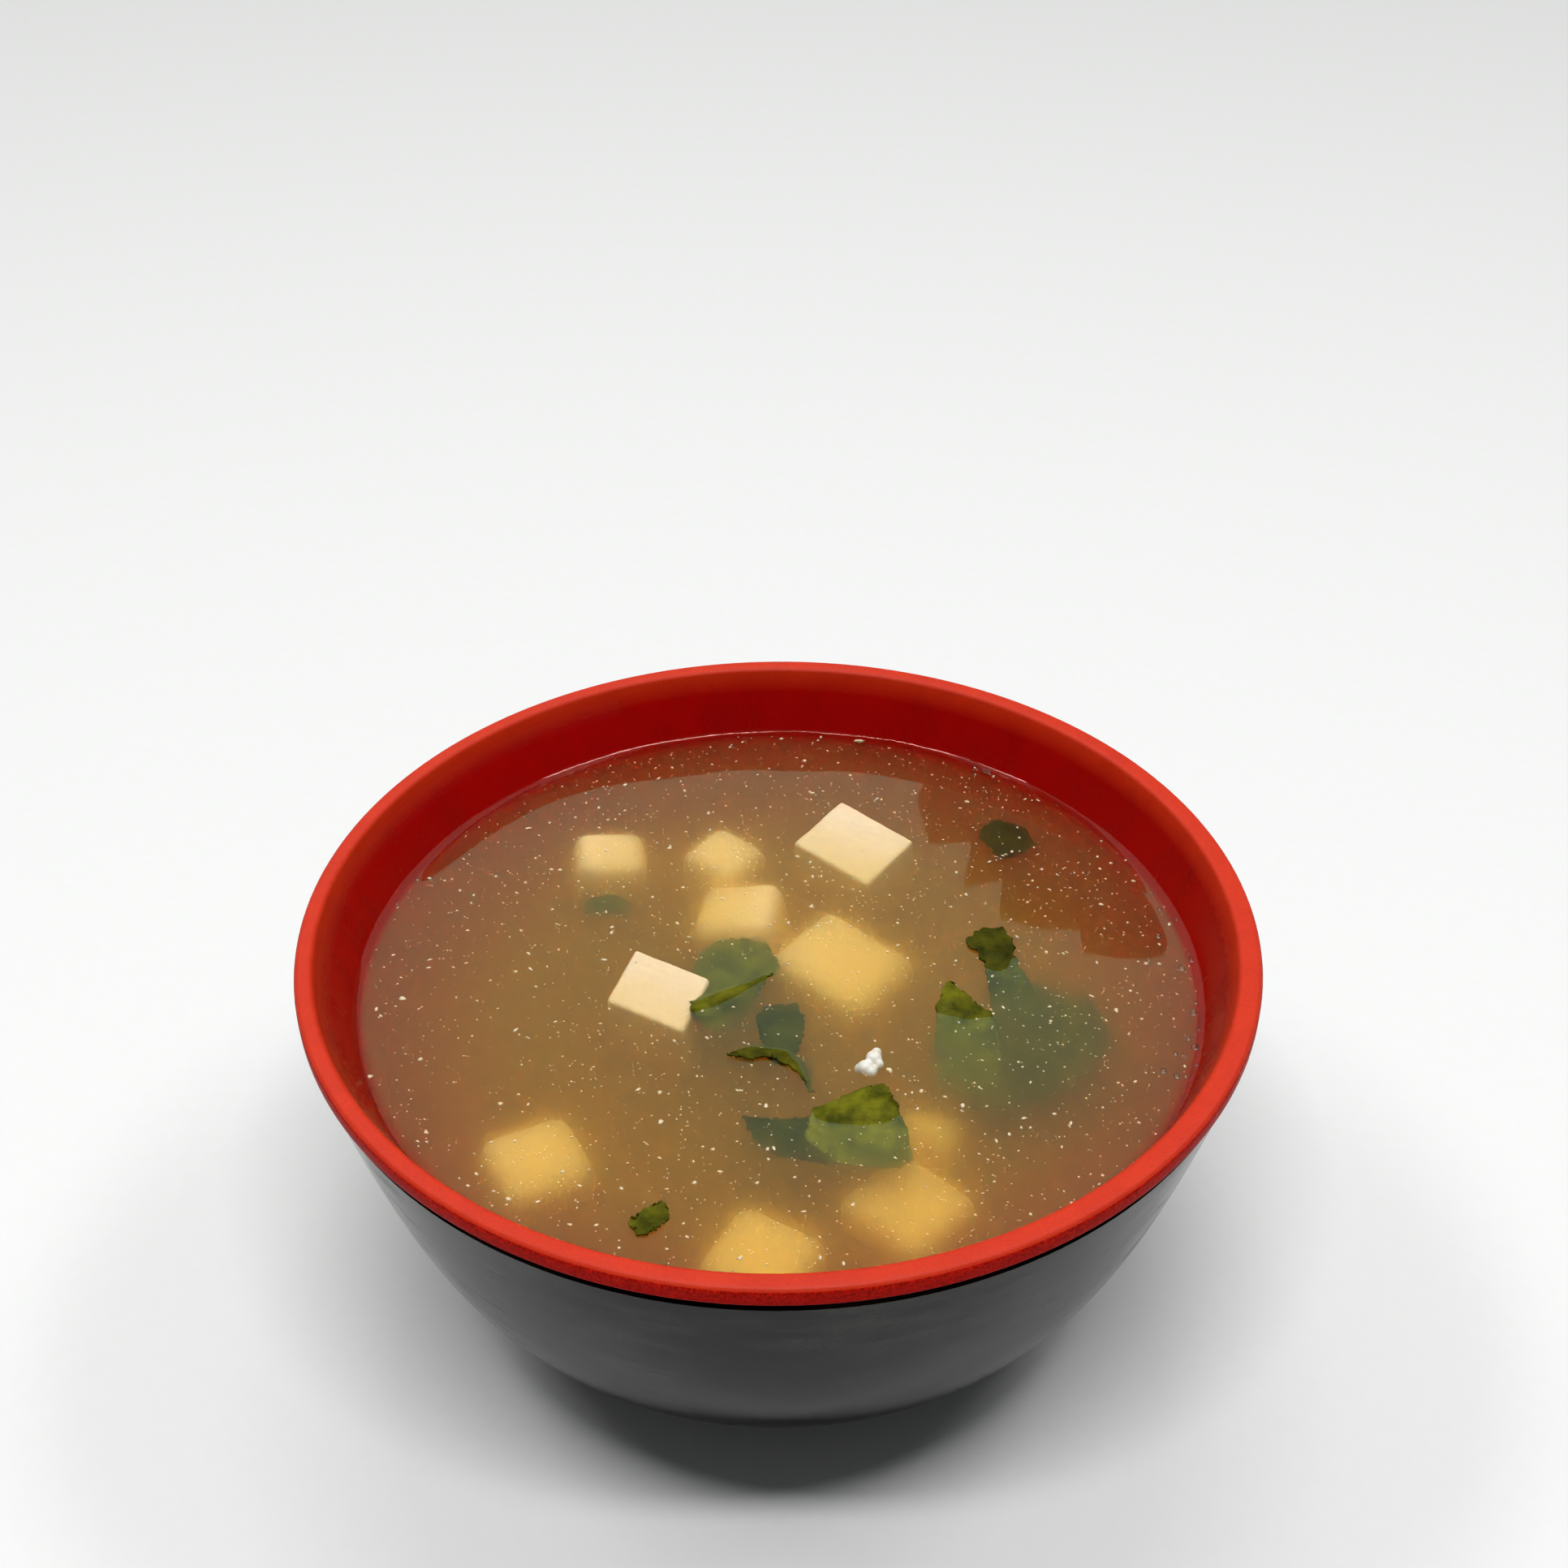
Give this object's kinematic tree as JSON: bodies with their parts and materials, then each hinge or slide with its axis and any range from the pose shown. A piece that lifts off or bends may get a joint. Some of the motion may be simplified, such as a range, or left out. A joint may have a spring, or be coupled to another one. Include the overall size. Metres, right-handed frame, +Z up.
{
  "type": "miso soup in a bowl",
  "caption": "Round lipped bowl on a foot ring, black outside and red inside, filled with cloudy broth that holds bean curd cubes and seaweed.",
  "frame": {"origin": "centre of the foot ring's underside, on the table", "axes": "+Z up out of the bowl, +Y to the back and +X to the right as the bowl is seen from the front"},
  "size_m": [0.13, 0.13, 0.058],
  "materials": {
    "black_melamine": "glossy black outer layer with faint smudges",
    "red_melamine": "satin red inner layer and lip",
    "miso_broth": "cloudy brown liquid, glossy on top",
    "tofu": "cream, fine-grained and wet",
    "wakame": "dark green, thin and wet"
  },
  "bodies": {
    "root": {"bowl_shell": "black_melamine", "bowl_lining": "red_melamine", "miso_soup": "miso_broth", "tofu_large": "tofu", "tofu_small": "tofu", "wakame_round": "wakame", "wakame_strip": "wakame", "wakame_fold": "wakame", "wakame_tip": "wakame", "wakame_leaf": "wakame", "wakame_fleck": "wakame"}
  },
  "joints": []
}
